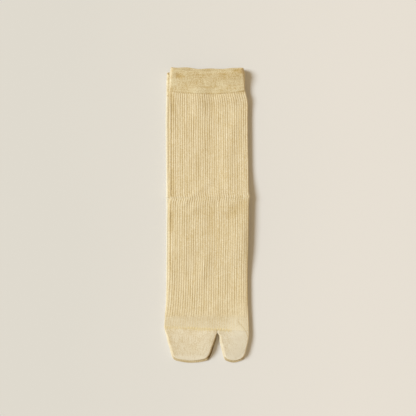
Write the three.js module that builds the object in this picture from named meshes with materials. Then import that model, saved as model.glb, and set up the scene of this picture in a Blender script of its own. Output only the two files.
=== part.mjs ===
// A pair of split-toe crew socks in fine rib, laid flat, one on the other and sole to sole.
// Millimetres, +Z up. X runs across the socks and Y along them: cuffs at +Y, toes at -Y.
// The upper sock, for the right foot, has its instep up. The lower sock, for the left foot,
// has its instep down, so the outlines match and both big toes are on the +X side.
// Each heel pocket is pressed flat and folded towards the toes, so it lies between the socks.
// A sock is modelled in the pieces that its maker tells apart: the turned welt (cuff), the
// leg, the heel pocket, the foot with its plain toe band, and the two toe pockets.
import * as THREE from "three";

const { clamp, lerp, smoothstep } = THREE.MathUtils;

// ---- Cloth ----
const PLY = 1.0; // one ply of knit, between its ribs
const RIB = 0.4; // how far a rib stands out of its ply
const RIBS_ACROSS = 34; // ribs on one face of the flat tube
const WELT_PLY = 1.8; // the welt is knitted double and turned in
const PLY_GAP = 0.35; // between the front and the back of one sock
const SOCK_GAP = 0.3; // between the two socks
const SEAM_GAP = 0.3; // between pieces that meet at a seam
const HEEL_THICK = 1.7; // a heel pocket pressed flat: two plies of thinner knit
const HEEL_GROOVE = 0.35; // the dip at its edge between those two plies

// ---- Along the socks, measured from the upper cuff's edge towards the toes ----
const LENGTH = 314; // the pair as it lies
const UPPER_ALONG = { edge: 0, weltSeam: 25.4, ankle: 138, ribEnd: 265.4, toeSeam: 277.6 };
const LOWER_ALONG = { edge: 5.3, weltSeam: 29.5, ankle: 138, ribEnd: 266.3, toeSeam: 278.3 };
const TOE_REACH = { upper: 0.95, lower: 1 }; // the lower sock's toes show past the upper's
const TOE_INSET = { upper: 1, lower: 0 }; // and beside them, by this much
const TOE_INSET_LENGTH = 9; // which is reached this far past the toe seam
const RIB_FADE = 1.6; // the ribs die out into the plain toe band over this length
const EDGE_SAG = 2.3; // the middle of a cuff's edge lies this much nearer the toes
const SEAM_SAG = 3.2; // and the middle of the welt seam this much
const SAG_FADE = 36; // the rows of the leg run straight again this far below the seam
const HEEL_DEPTH = 40; // the folded heel pocket, from the ankle line towards the toes
const HEEL_HALF_WIDTH = 42.6; // at the ankle line
const HEEL_TIP_HALF_WIDTH = 14; // what the short rows leave of it at the tip
const LOWER_WELT_END = LOWER_ALONG.weltSeam + 1; // the upper leg rests on the lower welt to here
const LEG_PLACES = [37, 44, 72, 104, 115, 127]; // sections that both legs share

// ---- Edges of the flat tubes: left is -X and right is +X ----
const UPPER_EDGES = [
  { along: 0, left: -38.2, right: 38.9 },
  { along: 3, left: -38.8, right: 39.8 },
  { along: 10, left: -39.3, right: 40.5 },
  { along: 25, left: -39.8, right: 40.9 },
  { along: 35, left: -40.2, right: 43.1 },
  { along: 54, left: -40.4, right: 43.4 },
  { along: 77, left: -40.4, right: 43.6 },
  { along: 104, left: -40.4, right: 44.1 },
  { along: 125, left: -40.6, right: 44.4 },
  { along: 134, left: -41.0, right: 44.8 },
  { along: 138, left: -40.8, right: 45.0 },
  { along: 144, left: -41.0, right: 44.8 },
  { along: 162, left: -40.8, right: 44.6 },
  { along: 183, left: -40.8, right: 44.3 },
  { along: 210, left: -41.2, right: 43.8 },
  { along: 236, left: -42.0, right: 43.8 },
  { along: 252, left: -43.2, right: 44.1 },
  { along: 265, left: -44.7, right: 44.8 },
  { along: 278, left: -45.4, right: 45.4 },
];
const LOWER_EDGES = [
  { along: 5, left: -42.6, right: 36.6 },
  { along: 12, left: -43.0, right: 37.4 },
  { along: 29, left: -43.6, right: 38.2 },
  { along: 40, left: -44.0, right: 39.8 },
  { along: 58, left: -44.3, right: 40.0 },
  { along: 77, left: -44.2, right: 40.4 },
  { along: 104, left: -43.8, right: 41.0 },
  { along: 125, left: -43.6, right: 41.8 },
  { along: 138, left: -43.5, right: 42.6 },
  { along: 162, left: -43.5, right: 42.2 },
  { along: 210, left: -43.6, right: 41.8 },
  { along: 236, left: -43.7, right: 42.2 },
  { along: 257, left: -44.2, right: 43.2 },
  { along: 266, left: -44.9, right: 44.2 },
  { along: 279, left: -45.4, right: 45.0 },
];

// ---- The toe pockets. past: from the toe seam. full: its thickness as a share of the whole.
// sag: how much nearer the toes the middle of a section lies than its ends. ----
const FOUR_TOE_EDGES = [
  { past: 0, left: -45.4, right: 10.8, sag: 0, full: 1 },
  { past: 3, left: -45.1, right: 10.8, sag: 0, full: 1 },
  { past: 7, left: -43.6, right: 10.2, sag: 0, full: 1 },
  { past: 14, left: -41.8, right: 8.2, sag: 0, full: 1 },
  { past: 20, left: -39.8, right: 6.2, sag: 0, full: 1 },
  { past: 26, left: -38.2, right: 4.3, sag: 0.2, full: 1 },
  { past: 29.5, left: -37.2, right: 2.8, sag: 0.8, full: 1 },
  { past: 32, left: -35.4, right: 1.0, sag: 1.6, full: 0.9 },
  { past: 33, left: -33.8, right: -0.3, sag: 1.9, full: 0.62 },
  { past: 33.4, left: -32.6, right: -1.2, sag: 2, full: 0.3 },
];
const BIG_TOE_EDGES = [
  { past: 0, left: 11.2, right: 45.4, sag: 0, full: 1 },
  { past: 3, left: 11.6, right: 45.4, sag: 0, full: 1 },
  { past: 7, left: 12.5, right: 45.2, sag: 0, full: 1 },
  { past: 14, left: 13.7, right: 44.4, sag: 0, full: 1 },
  { past: 20, left: 15.3, right: 43.0, sag: 0, full: 1 },
  { past: 26, left: 16.7, right: 41.6, sag: 0.2, full: 1 },
  { past: 29.5, left: 17.6, right: 40.2, sag: 0.8, full: 1 },
  { past: 32, left: 18.7, right: 38.4, sag: 1.5, full: 0.9 },
  { past: 33, left: 19.8, right: 37.0, sag: 1.7, full: 0.62 },
  { past: 33.4, left: 20.6, right: 36.2, sag: 1.8, full: 0.3 },
];
const TOE_GAP_EXTRA = 0.5; // the plies of a toe pocket stand this much further apart

// ---- Heights ----
const TUBE = 2 * PLY + PLY_GAP; // a flat tube, at the foot of its ribs
const WELT = 2 * WELT_PLY + PLY_GAP; // a flat welt
const MOUTH_GAPE = 0.8; // the upper welt's top ply stands up this much at its edge
const LEG_LIFT = HEEL_THICK + SEAM_GAP - RIB; // at the ankle a leg holds its heel's height
const FOOT_LIFT = 2 * (HEEL_THICK + SEAM_GAP); // the upper foot rides on both heel pockets
const WELT_SPREAD = 0.9; // at the seam the thick welt holds the leg's plies this far apart
const WELT_FADE = 15; // and the leg is flat again this far below it
const LEG_DRAPE = 32; // the leg comes down from the heel pockets over this length
const FOOT_DRAPE = 45; // the foot comes down from them over this length
const SIDE_DRAPE = 0.6; // sideways it comes down this much more slowly than lengthways
const HEEL_MARGIN = 6; // the cloth stays up this far outside the pockets

// ---- Colours ----
const CREAM = { welt: 0xd5bf91, leg: 0xddc99e, heel: 0xdbc69a, foot: 0xdcc79b, toe: 0xdfcfab };
const ROUGHNESS = 0.95;

// A column of a table as a smooth function of the table's first column.
function curve(table, key, column) {
  const places = Float32Array.from(table, (row) => row[key]);
  const values = Float32Array.from(table, (row) => row[column]);
  const interpolant = new THREE.CubicInterpolant(places, values, 1);
  return (place) => interpolant.evaluate(clamp(place, places[0], places.at(-1)))[0];
}

// Half of a heel pocket's width, a share `down` of the way from the ankle line to its tip.
function heelHalfWidth(down) {
  return lerp(HEEL_HALF_WIDTH, HEEL_TIP_HALF_WIDTH, clamp(down, 0, 1) ** 0.9);
}

// How much of the heel pockets' lift a place has: 1 over them, falling to 0 round them.
function heelShare(along, x) {
  const past = along - UPPER_ALONG.ankle;
  if (past < 0) {
    return 1 - smoothstep(-past, 0, LEG_DRAPE);
  }
  const pocket = heelHalfWidth(past / HEEL_DEPTH) + HEEL_MARGIN;
  const beside = Math.max(0, Math.abs(x) - pocket);
  const beyond = Math.max(0, past - HEEL_DEPTH - HEEL_MARGIN);
  return 1 - smoothstep(Math.hypot(SIDE_DRAPE * beside, beyond), 0, FOOT_DRAPE);
}

function weltShare(along, weltSeam) {
  return 1 - smoothstep(along, weltSeam + 1, weltSeam + WELT_FADE);
}

// Extra height of a toe pocket: none at its seam or its tip.
function toeSwell(along) {
  const start = LOWER_ALONG.toeSeam;
  return TOE_GAP_EXTRA * smoothstep(along, start, start + 9) * (1 - smoothstep(along, 300, 312));
}

function legThickness(along, x, weltSeam) {
  return TUBE + LEG_LIFT * heelShare(along, x) + WELT_SPREAD * weltShare(along, weltSeam);
}

// The underside of the upper leg clears the lower welt and, further down, the lower leg.
function upperLegBottom(along, x) {
  const lowerRibs = legThickness(along, x, LOWER_ALONG.weltSeam) + RIB;
  const overWelt = (WELT - TUBE - WELT_SPREAD - RIB) * weltShare(along, LOWER_ALONG.weltSeam);
  return lowerRibs + overWelt + SOCK_GAP + RIB;
}

// Bottom and top of each piece at a place, at the foot of any ribs.
const LEVELS = {
  lowerWelt: () => [0, WELT],
  lowerLeg: (along, x) => [0, legThickness(along, x, LOWER_ALONG.weltSeam)],
  lowerHeel: () => [TUBE + SEAM_GAP, TUBE + SEAM_GAP + HEEL_THICK],
  lowerFoot: () => [0, TUBE],
  lowerToe: (along) => [0, TUBE + toeSwell(along)],
  upperWelt: (along) => {
    const gape = MOUTH_GAPE * (1 - smoothstep(along, 0, UPPER_ALONG.weltSeam));
    return [WELT + SOCK_GAP, 2 * WELT + SOCK_GAP + gape];
  },
  upperLeg: (along, x) => {
    const bottom = upperLegBottom(along, x);
    return [bottom, bottom + legThickness(along, x, UPPER_ALONG.weltSeam)];
  },
  upperHeel: () => {
    const bottom = TUBE + SEAM_GAP + HEEL_THICK + SOCK_GAP;
    return [bottom, bottom + HEEL_THICK];
  },
  upperFoot: (along, x) => {
    const bottom = TUBE + SOCK_GAP + FOOT_LIFT * heelShare(along, x);
    return [bottom, bottom + TUBE];
  },
  upperToe: (along) => {
    const bottom = TUBE + toeSwell(along) + SOCK_GAP;
    return [bottom, bottom + TUBE + toeSwell(along)];
  },
};

// The points of one section, in order: over the top face from left to right, round the
// right fold, back under the bottom face and up round the left fold.
// share: 0 at the left fold and 1 at the right. tilt: which way the cloth faces, in degrees.
// turn: how far round the section the point is, from 0 to 1.
function sectionPlan({ plainSteps, ribbedTop = false, ribbedBottom = false, ribbedFold = false }) {
  const plan = [];
  const addFace = (isTop, ribbed) => {
    const shares = [{ share: 0, rib: 0 }];
    const steps = ribbed ? RIBS_ACROSS : plainSteps;
    for (let step = 0; step < steps; step += 1) {
      if (ribbed) {
        shares.push({ share: (step + 0.28) / steps, rib: 1 }, { share: (step + 0.72) / steps, rib: 1 });
      }
      shares.push({ share: (step + 1) / steps, rib: 0 });
    }
    for (const { share, rib } of isTop ? shares : shares.reverse()) {
      const turn = isTop ? 0.4 * share : 0.5 + 0.4 * (1 - share);
      plan.push({ share, rib, tilt: isTop ? 90 : -90, turn });
    }
  };
  const addFold = (isRight) => {
    for (const tilt of isRight ? [45, 0, -45] : [-45, 0, 45]) {
      const rib = ribbedFold && tilt === 0 ? 1 : 0;
      const turn = isRight ? 0.45 - (0.04 * tilt) / 45 : 0.95 + (0.04 * tilt) / 45;
      plan.push({ share: isRight ? 1 : 0, rib, tilt, turn });
    }
  };
  addFace(true, ribbedTop);
  addFold(true);
  addFace(false, ribbedBottom);
  addFold(false);
  return plan;
}

// One section of a piece as points. inset: how far inside the outer face it lies.
// groove: how far the middle of the folds is drawn in.
function sectionPoints(section, plan, { inset = 0, rib = 0, groove = 0 }) {
  const { along, left, right, sag, full, levels } = section;
  const halfAt = (x) => {
    const [bottom, top] = levels(along, x);
    return { half: (full * (top - bottom)) / 2, middle: (top + bottom) / 2 };
  };
  const leftRadius = halfAt(left).half;
  const rightRadius = halfAt(right).half;
  return plan.map((point) => {
    const tilt = THREE.MathUtils.degToRad(point.tilt);
    const isRight = point.share > 0.5;
    const radius = isRight ? rightRadius : leftRadius;
    const onFold = Math.max(radius - inset, 0.05) + rib * point.rib - (point.tilt === 0 ? groove : 0);
    const start = lerp(left + leftRadius, right - rightRadius, point.share);
    const x = start + (isRight ? 1 : -1) * onFold * Math.cos(tilt);
    const { half, middle } = halfAt(start);
    const z = middle + (Math.max(half - inset, 0.05) + rib * point.rib) * Math.sin(tilt);
    const across = (2 * (x - left)) / (right - left) - 1;
    const y = LENGTH / 2 - along - sag * (1 - across * across);
    return new THREE.Vector3(x, y, z);
  });
}

// Collects loops of points and the triangles between them, then makes the mesh.
class Body {
  positions = [];
  triangles = [];

  addLoop(points) {
    return points.map((point) => {
      this.positions.push(...point.toArray());
      return this.positions.length / 3 - 1;
    });
  }

  // The skin between loops of equal length, one after the other; facing out unless flipped.
  skin(loops, flipped = false) {
    for (let ring = 1; ring < loops.length; ring += 1) {
      const [near, far] = [loops[ring - 1], loops[ring]];
      near.forEach((corner, index) => {
        const next = (index + 1) % near.length;
        this.face([corner, far[index], near[next]], flipped);
        this.face([near[next], far[index], far[next]], flipped);
      });
    }
  }

  // The ring of cloth between an outer loop and an inner one, at an open end.
  rim(outer, outerPlan, inner, innerPlan, flipped = false) {
    let [i, j] = [0, 0];
    while (i < outer.length || j < inner.length) {
      const outerTurn = i < outer.length ? (outerPlan[i + 1]?.turn ?? 1) : Infinity;
      const innerTurn = j < inner.length ? (innerPlan[j + 1]?.turn ?? 1) : Infinity;
      if (outerTurn <= innerTurn) {
        this.face([outer[i], outer[(i + 1) % outer.length], inner[j % inner.length]], flipped);
        i += 1;
      } else {
        this.face([outer[i % outer.length], inner[(j + 1) % inner.length], inner[j]], flipped);
        j += 1;
      }
    }
  }

  // Closes a flat loop, from its left end to its right.
  cap(loop, flipped = false) {
    let [top, bottom] = [0, loop.length - 1];
    while (top + 1 < bottom) {
      this.face([loop[top], loop[top + 1], loop[bottom]], flipped);
      top += 1;
      if (top + 1 < bottom) {
        this.face([loop[top], loop[bottom - 1], loop[bottom]], flipped);
        bottom -= 1;
      }
    }
  }

  face(corners, flipped) {
    this.triangles.push(...(flipped ? corners.reverse() : corners));
  }

  mesh(name, color) {
    const geometry = new THREE.BufferGeometry();
    geometry.setAttribute("position", new THREE.Float32BufferAttribute(this.positions, 3));
    geometry.setIndex(this.triangles);
    geometry.computeVertexNormals();
    const material = new THREE.MeshStandardMaterial({ color, roughness: ROUGHNESS, metalness: 0 });
    const mesh = new THREE.Mesh(geometry, material);
    mesh.name = name;
    return mesh;
  }
}

// Even stations from one place to another, no more than `spacing` apart.
function stations(from, to, spacing) {
  const count = Math.ceil((to - from) / spacing);
  return Array.from({ length: count + 1 }, (_, index) => lerp(from, to, index / count));
}

// A length of one sock's tube, open at both ends.
function makeTube(name, color, { edges, places, sagAt, levels, wall, plan, ribAt = () => 0 }) {
  const innerPlan = sectionPlan({ plainSteps: 10 });
  const leftAt = curve(edges, "along", "left");
  const rightAt = curve(edges, "along", "right");
  const sections = places.map((along) => (
    { along, left: leftAt(along), right: rightAt(along), sag: sagAt(along), full: 1, levels }
  ));
  const body = new Body();
  const outer = sections.map((section) => (
    body.addLoop(sectionPoints(section, plan, { rib: ribAt(section.along) }))
  ));
  const inner = sections.map((section) => (
    body.addLoop(sectionPoints(section, innerPlan, { inset: wall }))
  ));
  body.skin(outer);
  body.skin(inner, true);
  body.rim(outer[0], plan, inner[0], innerPlan);
  body.rim(outer.at(-1), plan, inner.at(-1), innerPlan, true);
  return body.mesh(name, color);
}

// A toe pocket: open at the toe seam, closed at its tip.
function makePocket(name, color, { table, toeSeam, reach, inset, levels }) {
  const plan = sectionPlan({ plainSteps: 10 });
  const sections = table.map((row) => {
    const drawnIn = inset * smoothstep(row.past, 0, TOE_INSET_LENGTH);
    const along = toeSeam + SEAM_GAP + reach * row.past;
    return { ...row, along, left: row.left + drawnIn, right: row.right - drawnIn, levels };
  });
  const hollow = sections.filter((section) => section.full === 1);
  const body = new Body();
  const outer = sections.map((section) => body.addLoop(sectionPoints(section, plan, {})));
  const inner = hollow.map((section) => body.addLoop(sectionPoints(section, plan, { inset: PLY })));
  body.skin(outer);
  body.skin(inner, true);
  body.rim(outer[0], plan, inner[0], plan);
  body.cap(outer.at(-1), true);
  body.cap(inner.at(-1));
  return body.mesh(name, color);
}

// A heel pocket pressed flat: one rounded solid with its two plies marked along the edge.
function makeHeel(name, color, { edges, ankle, levels }) {
  const plan = sectionPlan({ plainSteps: 10 });
  const left = curve(edges, "along", "left")(ankle);
  const right = curve(edges, "along", "right")(ankle);
  const centre = (left + right) / 2;
  const downs = [0, 0.14, 0.3, 0.46, 0.62, 0.78, 0.9, 0.96, 0.99, 1];
  const body = new Body();
  const loops = downs.map((down) => {
    const toTip = (1 - down) * HEEL_DEPTH;
    const half = heelHalfWidth(down) - 3 * clamp(1 - toTip / 3, 0, 1) ** 2;
    const full = Math.sqrt(1 - clamp(1 - toTip / 1.2, 0, 0.96) ** 2);
    const along = ankle + SEAM_GAP + down * (HEEL_DEPTH - SEAM_GAP);
    const section = { along, left: centre - half, right: centre + half, sag: 0, full, levels };
    return body.addLoop(sectionPoints(section, plan, { groove: full * HEEL_GROOVE }));
  });
  body.skin(loops);
  body.cap(loops[0]);
  body.cap(loops.at(-1), true);
  return body.mesh(name, color);
}

// All the pieces of one sock. instepUp tells which face of the foot has the ribs in sight.
function makeSock(prefix, along, edges, instepUp) {
  const levelsOf = (piece) => LEVELS[prefix + piece];
  const toeFit = {
    toeSeam: along.toeSeam, reach: TOE_REACH[prefix], inset: TOE_INSET[prefix], levels: levelsOf("Toe"),
  };
  const plain = sectionPlan({ plainSteps: 12 });
  const legPlan = sectionPlan({
    plainSteps: 12, ribbedTop: true, ribbedBottom: instepUp, ribbedFold: true,
  });
  const footPlan = sectionPlan({ plainSteps: 12, ribbedTop: instepUp });
  const seamSagAt = (place) => (
    SEAM_SAG * (1 - smoothstep(place, along.weltSeam, along.weltSeam + SAG_FADE))
  );
  const weltSagAt = (place) => (
    lerp(EDGE_SAG, SEAM_SAG, (place - along.edge) / (along.weltSeam - along.edge))
  );
  const footRibAt = (place) => RIB * (1 - smoothstep(place, along.ribEnd - RIB_FADE, along.ribEnd));
  const half = SEAM_GAP / 2;
  const legPlaces = [
    along.weltSeam + half,
    ...(instepUp ? [LOWER_WELT_END] : []),
    ...LEG_PLACES,
    along.ankle - half,
  ];
  const footPlaces = [
    ...stations(along.ankle + half, along.ribEnd - RIB_FADE, 16),
    along.ribEnd,
    along.toeSeam,
  ];
  return [
    makeTube(`${prefix}_cuff`, CREAM.welt, {
      edges, places: stations(along.edge, along.weltSeam - half, 7), sagAt: weltSagAt,
      levels: levelsOf("Welt"), wall: WELT_PLY, plan: plain,
    }),
    makeTube(`${prefix}_leg`, CREAM.leg, {
      edges, places: legPlaces, sagAt: seamSagAt,
      levels: levelsOf("Leg"), wall: PLY, plan: legPlan, ribAt: () => RIB,
    }),
    makeHeel(`${prefix}_heel`, CREAM.heel, { edges, ankle: along.ankle, levels: levelsOf("Heel") }),
    makeTube(`${prefix}_foot`, CREAM.foot, {
      edges, places: footPlaces, sagAt: () => 0,
      levels: levelsOf("Foot"), wall: PLY, plan: footPlan, ribAt: footRibAt,
    }),
    makePocket(`${prefix}_four_toe_pocket`, CREAM.toe, { table: FOUR_TOE_EDGES, ...toeFit }),
    makePocket(`${prefix}_big_toe_pocket`, CREAM.toe, { table: BIG_TOE_EDGES, ...toeFit }),
  ];
}

const socks = new THREE.Group();
socks.name = "pair_of_toe_socks";
socks.add(...makeSock("lower", LOWER_ALONG, LOWER_EDGES, false));
socks.add(...makeSock("upper", UPPER_ALONG, UPPER_EDGES, true));

export default socks;
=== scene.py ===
# %% [markdown]
# # A pair of split-toe socks, laid flat
#
# The pair is knitted in fine cotton and lies folded flat, one sock on the other, sole to
# sole. The upper sock shows its ribbed instep. The lower one shows only as a narrow strip
# down the left side and as an edge under the toes.
#
# Every sock is a tube, so every piece here is made the same way. A table says where the
# two folds of the flat tube run, small functions say how high its cloth lies, and a grid
# of points is laid round it. The ribs are real relief in that grid. The stitches, which
# are smaller than a millimetre, are bump in the material.

# %% The frame and the tools
import math

import bpy
import numpy as np
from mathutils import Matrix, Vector


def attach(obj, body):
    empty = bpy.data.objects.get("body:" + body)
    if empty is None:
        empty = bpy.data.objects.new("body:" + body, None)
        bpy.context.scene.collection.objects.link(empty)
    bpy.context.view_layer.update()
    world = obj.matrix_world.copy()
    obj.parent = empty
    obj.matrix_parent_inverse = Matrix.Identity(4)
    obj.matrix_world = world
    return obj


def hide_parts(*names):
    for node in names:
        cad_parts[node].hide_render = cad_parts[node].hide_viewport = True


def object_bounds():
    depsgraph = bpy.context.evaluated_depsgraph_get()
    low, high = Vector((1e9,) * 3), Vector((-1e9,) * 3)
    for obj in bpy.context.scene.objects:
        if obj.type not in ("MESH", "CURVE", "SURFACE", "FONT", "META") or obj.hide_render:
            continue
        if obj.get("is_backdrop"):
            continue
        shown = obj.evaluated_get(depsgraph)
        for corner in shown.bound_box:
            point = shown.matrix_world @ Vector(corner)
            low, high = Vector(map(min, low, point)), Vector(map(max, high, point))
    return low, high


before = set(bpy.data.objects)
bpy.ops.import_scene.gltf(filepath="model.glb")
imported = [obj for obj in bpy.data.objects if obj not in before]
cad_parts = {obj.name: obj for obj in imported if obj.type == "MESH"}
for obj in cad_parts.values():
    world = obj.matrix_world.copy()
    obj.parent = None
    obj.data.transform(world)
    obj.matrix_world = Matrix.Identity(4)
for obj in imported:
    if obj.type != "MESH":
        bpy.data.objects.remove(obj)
cad_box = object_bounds()
print("nodes to dress:", ", ".join(sorted(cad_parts)))

# %% [markdown]
# ## Sizes
#
# All lengths are in millimetres until a mesh is made, because that is how a maker thinks
# of cloth. `along` is the distance from the upper cuff's edge towards the toes.

# %% Sizes of the knit and of the socks
LENGTH = 314.0
WALL = 0.85          # one ply of knit
RIB = 0.36           # height of a rib
RIBS = 34            # ribs across one face of the tube
TUBE = 2.35          # a flat tube of two plies
WELT = 3.95          # a flat welt, which is knitted double
WELT_WALL = 1.7
HEEL = 1.7           # a heel pocket pressed flat
HEEL_WALL = 0.7
SOCK_GAP = 0.3
SEAM_GAP = 0.3
JOIN = 0.02          # half of the hairline between two linked pieces
COURSE = 0.86        # height of one row of stitches

# How far along each sock its parts begin.
STATIONS = {
    "upper": {"edge": 0.0, "welt": 25.4, "ankle": 138.0, "rib_end": 265.4, "toe": 277.6},
    "lower": {"edge": 5.3, "welt": 29.5, "ankle": 138.0, "rib_end": 266.3, "toe": 278.3},
}
HEEL_DEPTH = 40.0
HEEL_HALF = 42.6
HEEL_TIP_HALF = 14.0

# Where the two folds of each flat tube run: (along, left, right).
EDGES = {
    "upper": [
        (0, -38.2, 38.9), (3, -38.8, 39.8), (10, -39.3, 40.5), (25, -39.8, 40.9),
        (35, -40.2, 43.1), (54, -40.4, 43.4), (77, -40.4, 43.6), (104, -40.4, 44.1),
        (125, -40.6, 44.4), (134, -41.0, 44.8), (138, -40.8, 45.0), (144, -41.0, 44.8),
        (162, -40.8, 44.6), (183, -40.8, 44.3), (210, -41.2, 43.8), (236, -42.0, 43.8),
        (252, -43.2, 44.1), (265, -44.7, 44.8), (278, -45.4, 45.4),
    ],
    "lower": [
        (5, -42.6, 36.6), (12, -43.0, 37.4), (29, -43.2, 38.2), (40, -43.5, 39.8),
        (58, -43.7, 40.0), (77, -43.6, 40.4), (104, -43.4, 41.0), (125, -43.2, 41.8),
        (138, -43.1, 42.6), (162, -43.1, 42.2), (210, -43.4, 41.8), (236, -43.7, 42.2),
        (257, -44.2, 43.2), (266, -44.9, 44.2), (279, -45.4, 45.0),
    ],
}

# The toe pockets: (past the toe seam, left, right, sag of the middle).
TOES = {
    "four_toe_pocket": [
        (0, -45.4, 10.95, 0), (2, -45.2, 10.95, 0), (4, -44.8, 10.95, 0), (7, -43.6, 10.2, 0),
        (14, -41.8, 8.2, 0), (20, -39.8, 6.2, 0), (26, -38.2, 4.2, 0.2), (29.5, -36.9, 2.4, 0.8),
        (32, -34.8, 0.3, 1.6), (33, -32.8, -1.4, 1.9), (33.4, -31.2, -2.8, 2.0),
    ],
    "big_toe_pocket": [
        (0, 11.07, 45.4, 0), (2, 11.07, 45.4, 0), (4, 11.07, 45.4, 0), (7, 12.5, 45.2, 0),
        (14, 13.7, 44.4, 0), (20, 15.3, 43.0, 0), (26, 16.8, 41.5, 0.2), (29.5, 17.9, 39.9, 0.8),
        (32, 19.2, 37.8, 1.5), (33, 20.6, 36.0, 1.7), (33.4, 21.8, 34.8, 1.8),
    ],
}
TOE_LENGTH = 33.4    # of a pocket in the table
TOE_ROUND = 3.4      # the end of it, where it rounds off
SPLIT = 11.01        # where the two pockets touch, at the root of the split
SPLIT_GAP = 0.06     # from there to each of them

# The upper sock's toes are a little shorter and set in at the left, so the lower's show.
TOE_REACH = {"upper": 0.945, "lower": 1.02}
TOE_INSET = {"upper": 1.0, "lower": 0.0}
TOE_SPREAD = {"upper": 0.0, "lower": 0.9}   # how far the lower's show in the split
TOE_BLUNT = {"upper": 1.1, "lower": 2.8}    # how long the round of a tip's edge is

solid_length = 1000 * (cad_box[1][1] - cad_box[0][1])
print(f"the solids are {solid_length:.1f} mm long and the cloth is {LENGTH:.1f} mm")

# %% [markdown]
# ## Curves and gentle unevenness
#
# A table becomes a smooth curve, so a dozen rows are enough for a whole outline. Knit is
# never quite even, so a few sine waves with fixed odd phases give a calm, repeatable
# wobble, which is easier to steer than random noise.

# %% Helpers for smooth numbers
def smoothstep(value, low, high):
    t = np.clip((np.asarray(value, float) - low) / (high - low), 0, 1)
    return t * t * (3 - 2 * t)


def curve(table, column):
    """A column of a table as a smooth function of its first column."""
    places = np.array([row[0] for row in table], float)
    values = np.array([row[column] for row in table], float)
    slopes = np.gradient(values, places)

    def at(place):
        place = np.clip(place, places[0], places[-1])
        i = np.clip(np.searchsorted(places, place, side="right") - 1, 0, len(places) - 2)
        width = places[i + 1] - places[i]
        t = (place - places[i]) / width
        start, end = values[i], values[i + 1]
        bend = t * (1 - t) * ((1 - t) * (slopes[i] * width) - t * (slopes[i + 1] * width))
        return start + (end - start) * t * t * (3 - 2 * t) + bend

    return at


def wobble(x, y, size, seed):
    """A smooth uneven field between about -1 and 1, with bumps roughly `size` across."""
    rng = np.random.default_rng(seed)
    total = 0
    for _ in range(7):
        angle = rng.uniform(0, math.tau)
        wave = math.tau / (size * rng.uniform(1.4, 3.2))
        total = total + np.sin(
            wave * (math.cos(angle) * x + math.sin(angle) * y) + rng.uniform(0, math.tau)
        )
    return total / 3.5


print("wobble at the middle of the leg:", round(float(wobble(0, 80, 20, 1)), 2))

# %% [markdown]
# ## How high the cloth lies
#
# The lower sock lies on the table, then come the two folded heel pockets, then the upper
# sock. Over the heel pockets the upper sock is lifted, and from there it comes down in a
# slow slope. At the cuff the double welt holds the leg's two plies apart for a little way,
# and the upper sock's mouth stands open.

# %% Heights of the stacked plies
LEG_LIFT = HEEL + SEAM_GAP - 0.4
FOOT_LIFT = 2 * (HEEL + SEAM_GAP)
WELT_SPREAD = 0.9
TOE_SWELL = 0.8
HEEL_MARGIN = 6      # how far past the heel pockets the cloth above them stays up
FOOT_SLOPE = 45      # how long its way down is, on the foot and on the leg
LEG_SLOPE = 32


def heel_half_width(down):
    return HEEL_HALF + (HEEL_TIP_HALF - HEEL_HALF) * np.clip(down, 0, 1) ** 0.9


def heel_share(along, x):
    """1 over the folded heel pockets, falling to 0 round them."""
    past = along - STATIONS["upper"]["ankle"]
    strip_highlight = np.maximum(0, np.abs(x) - heel_half_width(past / HEEL_DEPTH) - HEEL_MARGIN)
    beyond = np.maximum(0, past - HEEL_DEPTH - HEEL_MARGIN)
    on_foot = 1 - smoothstep(np.hypot(0.6 * strip_highlight, beyond), 0, FOOT_SLOPE)
    on_leg = 1 - smoothstep(-past, 0, LEG_SLOPE)
    return np.where(past < 0, on_leg, on_foot)


def welt_share(along, seam):
    return 1 - smoothstep(along, seam + 1, seam + 15)


def toe_swell(along, x):
    """The pockets are a little fuller than the foot, but pressed down at the big toe's side."""
    start = STATIONS["lower"]["toe"]
    full = smoothstep(along, start, start + 9) * (1 - smoothstep(along, 300, 312))
    return TOE_SWELL * full * (1 - 0.8 * smoothstep(x, 22, 42))


def mouth_gape(along, x):
    """How far the upper cuff's front ply is lifted at its rim, most of all at the right."""
    return (2.4 + 1.5 * smoothstep(x, 5, 38)) * (1 - smoothstep(along, 1, 20))


def leg_height(along, x, sock):
    seam = STATIONS[sock]["welt"]
    return TUBE + LEG_LIFT * heel_share(along, x) + WELT_SPREAD * welt_share(along, seam)


def leg_floor(along, x):
    """The underside of the upper leg, clear of the lower leg and its welt."""
    over_welt = (WELT - TUBE - WELT_SPREAD - 0.4) * welt_share(along, STATIONS["lower"]["welt"])
    return leg_height(along, x, "lower") + 0.8 + over_welt + SOCK_GAP


def foot_floor(along, x):
    return TUBE + SOCK_GAP + FOOT_LIFT * heel_share(along, x)


def toe_floor(along, x):
    return TUBE + toe_swell(along, x) + SOCK_GAP


def heights(sock, part):
    """Bottom and top of a piece as a function of place."""
    if sock == "lower":
        return {
            "cuff": lambda a, x: (0, WELT),
            "leg": lambda a, x: (RIB, leg_height(a, x, "lower")),
            "heel": lambda a, x: (TUBE + SEAM_GAP, TUBE + SEAM_GAP + HEEL),
            "foot": lambda a, x: (RIB, TUBE),
            "toe": lambda a, x: (0, TUBE + toe_swell(a, x)),
        }[part]
    heel_floor = TUBE + SEAM_GAP + HEEL + SOCK_GAP
    return {
        "cuff": lambda a, x: (WELT + SOCK_GAP, 2 * WELT + SOCK_GAP + mouth_gape(a, x)),
        "leg": lambda a, x: (leg_floor(a, x), leg_floor(a, x) + leg_height(a, x, "upper")),
        "heel": lambda a, x: (heel_floor, heel_floor + HEEL),
        "foot": lambda a, x: (foot_floor(a, x), foot_floor(a, x) + TUBE),
        "toe": lambda a, x: (toe_floor(a, x), toe_floor(a, x) + TUBE + toe_swell(a, x)),
    }[part]


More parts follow.
